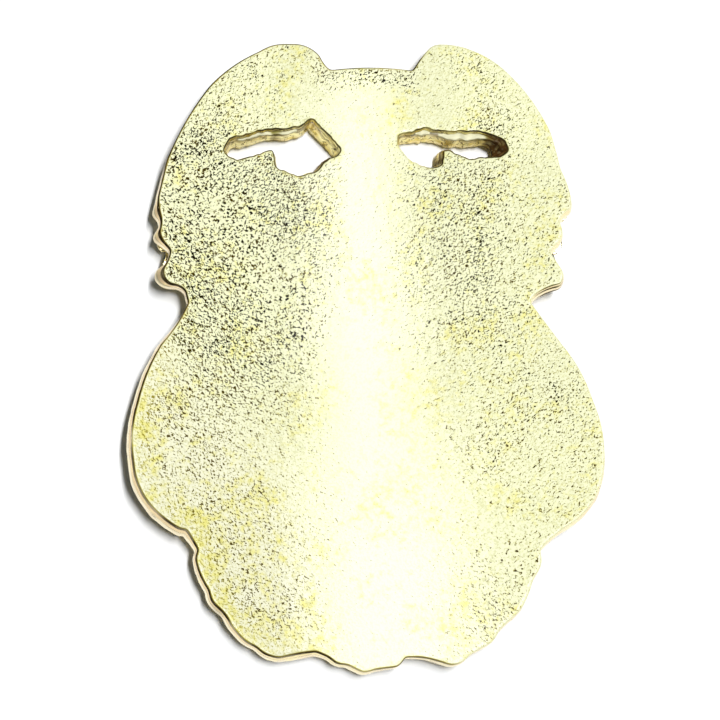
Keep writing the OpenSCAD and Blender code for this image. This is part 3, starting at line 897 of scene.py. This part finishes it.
# The laurel along the lower edge: seven leaves a side with a sunk midrib and side veins, cast
# with the plate, and the knot where the two stems meet.
leaf_rise = 0.95
left_laurel = [
    (-17.6, -16.8, -21.0, -20.6, 2.8), (-17.0, -19.8, -19.5, -24.0, 2.9),
    (-15.4, -22.6, -18.0, -27.9, 3.0), (-13.6, -25.6, -16.0, -31.0, 3.1),
    (-11.2, -28.2, -13.1, -33.6, 3.2), (-8.2, -29.6, -9.7, -34.6, 3.2),
    (-5.0, -30.2, -5.6, -34.4, 2.9)]
right_laurel = [
    (18.0, -17.4, 21.3, -21.1, 2.8), (17.2, -20.4, 19.8, -24.6, 2.9),
    (15.8, -23.4, 18.6, -27.9, 3.0), (14.2, -26.6, 16.5, -30.4, 3.1),
    (11.8, -28.8, 13.8, -33.4, 3.2), (8.6, -30.2, 9.7, -35.4, 3.2),
    (5.2, -30.4, 5.6, -34.7, 2.9)]


def leaf_half(t):
    """How wide a leaf is at a share of its length."""
    return np.sin(math.pi * np.clip(t, 0, 1) ** 0.8) ** 0.8 + 0.02


def leaf_crown(t, s):
    """How high a leaf's crown is along and across it: side veins off a sunk midrib."""
    midrib = 0.45 * np.exp(-(s / 0.16) ** 2)
    veins = 0.16 * np.abs(np.sin(math.pi * 7 * (t - 0.16 * np.abs(s))))
    return (1 - 0.75 * np.abs(s) ** 3) - midrib + veins * (np.abs(s) > 0.2) * (np.abs(s) < 0.9)


leaf = blade_mesh("leaf", leaf_half, leaf_crown, 44, 13)
row_of_blades("left_laurel", leaf, left_laurel, 0.15, leaf_rise)
row_of_blades("right_laurel", leaf, right_laurel, 0.15, leaf_rise)


# The eagle, the two banners, the flank border and the knot are relief of the same casting: soft
# raised forms whose feet run into the plate's front.
def relief(name, rule, low, high, step):
    """A closed piece whose crown follows a rule of how far it stands over the plate's front."""
    x, y = np.meshgrid(np.arange(low[0], high[0] + step, step), np.arange(low[1], high[1] + step, step))
    shape = x.shape
    x, y = x.ravel(), y.ravel()
    rise = rule(x, y)
    raised = rise.reshape(shape) > 0
    cells = raised[:-1, :-1] | raised[1:, :-1] | raised[:-1, 1:] | raised[1:, 1:]
    at = np.arange(x.size).reshape(shape)
    a, b, c, d = at[:-1, :-1], at[:-1, 1:], at[1:, 1:], at[1:, :-1]
    under = x.size
    quads = np.stack([a, b, c, d], -1)[cells]
    faces = [quads[:, ::-1], quads + under]
    around = np.pad(cells, 1)
    for shift, first, second in (((0, 1), a, b), ((1, 2), b, c), ((2, 1), c, d), ((1, 0), d, a)):
        beyond = around[shift[0]:, shift[1]:][:cells.shape[0], :cells.shape[1]]
        open_side = cells & ~beyond
        p, q = first[open_side], second[open_side]
        faces.append(np.column_stack([p, q, q + under, p + under]))
    faces = np.vstack(faces)
    used, again = np.unique(faces, return_inverse=True)
    spots = np.vstack([
        np.column_stack([x, y, front(x, np.maximum(rise, -0.3))]),
        np.column_stack([x, y, front(x, -0.6)])])[used]
    piece = made(name, spots, again.reshape(faces.shape), bright_gold)
    cast_with(piece)


def soft_most(*heights):
    """The greatest of several heights, blended where they meet."""
    return np.log(sum(np.exp(h * 14) for h in heights)) / 14


def dome(x, y, at, size, rise, flat=0.4):
    """An oval swelling, below the front outside its rim."""
    q = ((x - at[0]) / size[0] * 2) ** 2 + ((y - at[1]) / size[1] * 2) ** 2
    return np.where(q < 1, rise * np.clip(1 - q, 0, 1) ** flat, -0.4 * np.clip(q - 1, 0, 1))


def scales(x, y, size, height):
    """Staggered rows of small rounded feathers that overlap downwards."""
    row = np.floor(y / size)
    u = np.abs((x / size + 0.5 * (row % 2)) % 1 - 0.5) * 2
    v = y / size - row
    return height * (1 - v) * np.clip(1 - u ** 3, 0, 1)


def eagle_rise(x, y):
    """The eagle's body, head with its beak turned to the right, and claws on the banner."""
    body = dome(x, y, (0.6, 27.2), (6.2, 15), 1.18)
    head = dome(x, y, (0.4, 33.6), (5.0, 5.0), 1.30, 0.45)
    neck = dome(x, y, (0.5, 31.0), (4.6, 5.0), 1.15)
    beak = dome(x, y, (2.9, 33.6), (3.4, 1.7), 1.1)
    hook = dome(x, y, (4.0, 32.9), (1.1, 1.8), 0.95)
    claws = [dome(x, y, (0.6 + 2.2 * side + toe, 19.7 - 0.2 * abs(toe)), (0.9, 2.4), 0.8)
             for side in (-1, 1) for toe in (-0.75, 0, 0.75)]
    form = soft_most(body, head, neck, beak, hook, *claws)
    eye = -0.25 * np.exp(-((x - 1.25) ** 2 + (y - 34.1) ** 2) / 0.06)
    brow_ridge = 0.12 * np.exp(-((y - 34.75 - 0.1 * x) / 0.2) ** 2 - ((x - 1.2) / 0.9) ** 2)
    plumage = scales(x, y, 0.95, 0.10) * (form > 0.5) * (y < 32.6) * (y > 20.8)
    return form + plumage + eye + brow_ridge - 0.02


relief("eagle", eagle_rise, (-3.4, 17.6), (5.6, 36.8), 0.1)

banner_rise = 0.95
banner_w = 5.6


def banner(x, y, radius, middle, span):
    """A blank ribbon round the medallion: a sunk field inside a rounded rim."""
    from_middle_line = np.hypot(x, y - centre[1]) - radius
    turn = np.abs((np.degrees(np.arctan2(y - centre[1], x)) - middle + 180) % 360 - 180)
    depth = np.minimum(banner_w / 2 - np.abs(from_middle_line), np.radians(span - turn) * radius)
    sunk = 0.32 * ramp(depth - 0.55, 0.35)
    return np.where(depth > 0, banner_rise * ramp(depth + 0.15, 0.5) - sunk, -0.5)


relief("upper_banner", lambda x, y: banner(x, y, radius=25.0, middle=90, span=42),
       (-19.5, 7.5), (19.5, 21.2), 0.15)
relief("lower_banner", lambda x, y: banner(x, y, radius=18.4, middle=270, span=58),
       (-18.3, -28.4), (18.3, -14.5), 0.15)

border_w = 1.3


def flank_border(x, y):
    """A rounded rib just inside the outline, along the flanks alone."""
    depth = depth_inside(np.column_stack([x, y]), outline) + 0.05
    inside = np.minimum(np.minimum(depth, border_w - depth), np.minimum(5 - y, y + 19.6))
    return np.where(inside > 0, leaf_rise * ramp(inside + 0.1, 0.45), -0.5)


relief("left_border", flank_border, (-28.6, -19.8), (-20.6, 5.2), 0.14)
relief("right_border", flank_border, (20.6, -19.8), (29.2, 5.2), 0.14)
relief("knot", lambda x, y: soft_most(
    dome(x, y, (0.4, -34.2), (3.8, 3.8), 0.95),
    dome(x, y, (-2.4, -33.0), (3.0, 1.6), 0.6), dome(x, y, (3.0, -33.0), (3.0, 1.6), 0.6)),
    (-4.2, -36.4), (4.8, -31.8), 0.13)

# The medallion in the middle: a flat bright ring that the badge rests on, with a pearled inner
# edge and a five-pointed star on a sunk field, all cast with the plate.
# The medallion's profile from its middle out, in rows of radius and height over the floor
medallion_profile = [
    (0.0, 0.50), (3.0, 0.50), (6.0, 0.50), (9.0, 0.50), (9.25, 0.46), (9.4, 0.30), (9.6, 0.26),
    (9.8, 0.30), (9.95, 0.46), (10.2, 0.50), (10.8, 0.50), (11.0, 0.46), (11.22, 0.12),
    (11.35, 0.02), (11.5, 0.0), (12.5, 0.0), (12.75, 0.03), (12.9, 0.12), (12.98, 0.3),
    (13.05, 1.0), (13.1, 2.2)]
around = 180
turns = np.linspace(0, 2 * math.pi, around, endpoint=False)
spots = [(*centre, medallion_profile[0][1])]
for radius, height in medallion_profile[1:]:
    spots += [(radius * math.cos(t), centre[1] + radius * math.sin(t), height) for t in turns]
net = np.arange(1, len(spots)).reshape(-1, around)
onward = np.roll(net, -1, 1)
faces = [(0, b, a) for a, b in zip(net[0], onward[0])]
faces += list(np.stack([net[:-1], onward[:-1], onward[1:], net[1:]], -1).reshape(-1, 4))
faces += [(a, b, len(spots)) for a, b in zip(net[-1], onward[-1])]
spots.append((*centre, medallion_profile[-1][1]))
cast_with(made("medallion", spots, faces, bright_gold))

# The star on the medallion's field: five points that rise to one peak, with ridges out to their
# tips and valleys between them, cast with the plate. Its foot is sunk in the field.
star_corners = 10
star_r = 7.4
star_waist = 0.4
star_peak = 0.06
star_edge = 0.44
star_foot = 0.9
corners = []
for i in range(star_corners):
    radius = star_r * (1 if i % 2 == 0 else star_waist)
    turn = 2 * math.pi * i / star_corners
    corners.append((radius * math.sin(turn), centre[1] + radius * math.cos(turn)))
spots = [(*centre, star_peak)] + [(*corner, star_edge) for corner in corners]
foot = len(spots)
spots += [(*corner, star_foot) for corner in corners] + [(*centre, star_foot)]
faces = []
for i in range(star_corners):
    j = (i + 1) % star_corners
    faces += [(0, 1 + i, 1 + j), (1 + i, foot + i, foot + j, 1 + j),
              (foot + star_corners, foot + j, foot + i)]
cast_with(made("star", spots, faces, bright_gold, False))

# The pearls between the medallion's two rings: equal balls cast with it and half sunk. A tree
# sets them out round a circle.
pearl_count = 84
pearl_ring_r = 10.5
pearl_r = 0.34
pearl_level = 0.42
pearl_tree, pearl_inputs, nodes, links, given = tree_begun(
    "ring_of_pearls", Pearls="Int", Ring_radius="Float", Pearl_radius="Float", Place="Vector",
    Plating="Material")
circle = fill(nodes.new("GeometryNodeMeshCircle"), Vertices=given["Pearls"], Radius=given["Ring radius"])
dots = fill(nodes.new("GeometryNodeMeshToPoints"), Mesh=circle.outputs["Mesh"])
ball = fill(nodes.new("GeometryNodeMeshIcoSphere"), Radius=given["Pearl radius"], Subdivisions=2)
rounded = fill(nodes.new("GeometryNodeSetShadeSmooth"), Geometry=ball.outputs["Mesh"])
placed = fill(nodes.new("GeometryNodeInstanceOnPoints"), Points=dots.outputs["Points"],
              Instance=rounded.outputs["Geometry"])
moved = fill(nodes.new("GeometryNodeTransform"), Geometry=placed.outputs["Instances"],
             Translation=given["Place"])
plated(moved.outputs["Geometry"], given["Plating"])
pearls = made("pearls", [(0, 0, 0)], [], bright_gold, False)
pearls_at = Vector((centre[0] - middle_x, centre[1] - middle_y, pearl_level)) * MM
made_plain(pearls, pearl_tree, pearl_inputs, (
    pearl_count, pearl_ring_r * MM, pearl_r * MM, pearls_at, bright_gold))
cast_with(pearls)
